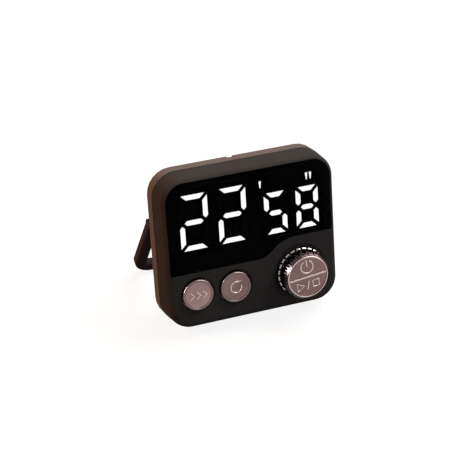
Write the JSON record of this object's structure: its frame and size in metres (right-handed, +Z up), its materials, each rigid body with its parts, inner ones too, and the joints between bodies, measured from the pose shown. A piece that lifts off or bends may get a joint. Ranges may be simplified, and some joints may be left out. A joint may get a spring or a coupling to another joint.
{
  "type": "digital kitchen timer",
  "caption": "Rounded desktop countdown timer that leans back on a fold-out stand, with a lit digital display, push buttons and a turning, pressing knob.",
  "frame": {"origin": "centre of the bounding box's underside, on the floor that the rear rim and the stand's foot rest on", "axes": "+X to the right seen from the front, +Y from the front towards the back, +Z up; the case leans back 18 degrees"},
  "size_m": [0.086, 0.0636, 0.0751],
  "materials": {
    "case_black": "matte",
    "rear_grey": "matte",
    "window_black": "gloss",
    "rose_metal": "satin",
    "ring_metal": "satin",
    "lit_white": "satin",
    "board_green": "satin",
    "part_black": "matte",
    "steel": "brushed",
    "cell_skin": "satin"
  },
  "bodies": {
    "case": {"battery_1": "cell_skin", "battery_2": "cell_skin", "battery_3": "cell_skin", "board_screw_1": "steel", "board_screw_2": "steel", "board_screw_3": "steel", "board_screw_4": "steel", "buzzer": "part_black", "case_screw_1": "steel", "case_screw_2": "steel", "case_screw_3": "steel", "case_screw_4": "steel", "contact_spring_1": "steel", "contact_spring_2": "steel", "contact_spring_3": "steel", "controller_chip": "part_black", "display_mask": "part_black", "display_window": "window_black", "encoder_body": "steel", "front_case": "case_black", "lamp_grid": "part_black", "left_link_plate": "steel", "light_guide": "lit_white", "magnet_left": "steel", "magnet_right": "steel", "main_board": "board_green", "negative_plate": "steel", "positive_plate": "steel", "quick_switch": "part_black", "rear_case": "rear_grey", "reset_switch": "part_black", "right_link_plate": "steel", "volume_switch": "part_black"},
    "quick_button": {"quick_button": "rose_metal", "quick_plunger": "part_black"},
    "reset_button": {"reset_button": "rose_metal", "reset_plunger": "part_black"},
    "knob_push": {"encoder_plunger": "part_black"},
    "knob": {"knob_ring": "ring_metal", "knob_cap": "rose_metal", "encoder_shaft": "steel"},
    "volume_slider": {"volume_slider": "part_black"},
    "battery_door": {"battery_door": "rear_grey"},
    "stand": {"stand": "rear_grey"}
  },
  "joints": [
    {"name": "quick_press", "type": "slide", "parent": "case", "child": "quick_button", "axis": [0, 0.9511, -0.309], "range_m": [0, 0.0006], "stiffness_N_per_m": 1500, "springref_m": -0.0004},
    {"name": "reset_press", "type": "slide", "parent": "case", "child": "reset_button", "axis": [0, 0.9511, -0.309], "range_m": [0, 0.0006], "stiffness_N_per_m": 1500, "springref_m": -0.0004},
    {"name": "knob_press", "type": "slide", "parent": "case", "child": "knob_push", "axis": [0, 0.9511, -0.309], "range_m": [0, 0.0005], "stiffness_N_per_m": 2500, "springref_m": -0.0004},
    {"name": "knob_turn", "type": "hinge", "parent": "knob_push", "child": "knob", "pos_m": [0.0234, -0.02014, 0.02306], "axis": [0, 0.9511, -0.309], "continuous": true},
    {"name": "volume_slide", "type": "slide", "parent": "case", "child": "volume_slider", "axis": [1, 0, 0], "range_m": [-0.002, 0.002]},
    {"name": "door_hinge", "type": "hinge", "parent": "case", "child": "battery_door", "pos_m": [0, 0.0045, 0.01542], "axis": [1, 0, 0], "range_deg": [-75, 0]},
    {"name": "stand_hinge", "type": "hinge", "parent": "case", "child": "stand", "pos_m": [0, 0.0108, 0.04355], "axis": [1, 0, 0], "range_deg": [-42, 0]}
  ]
}
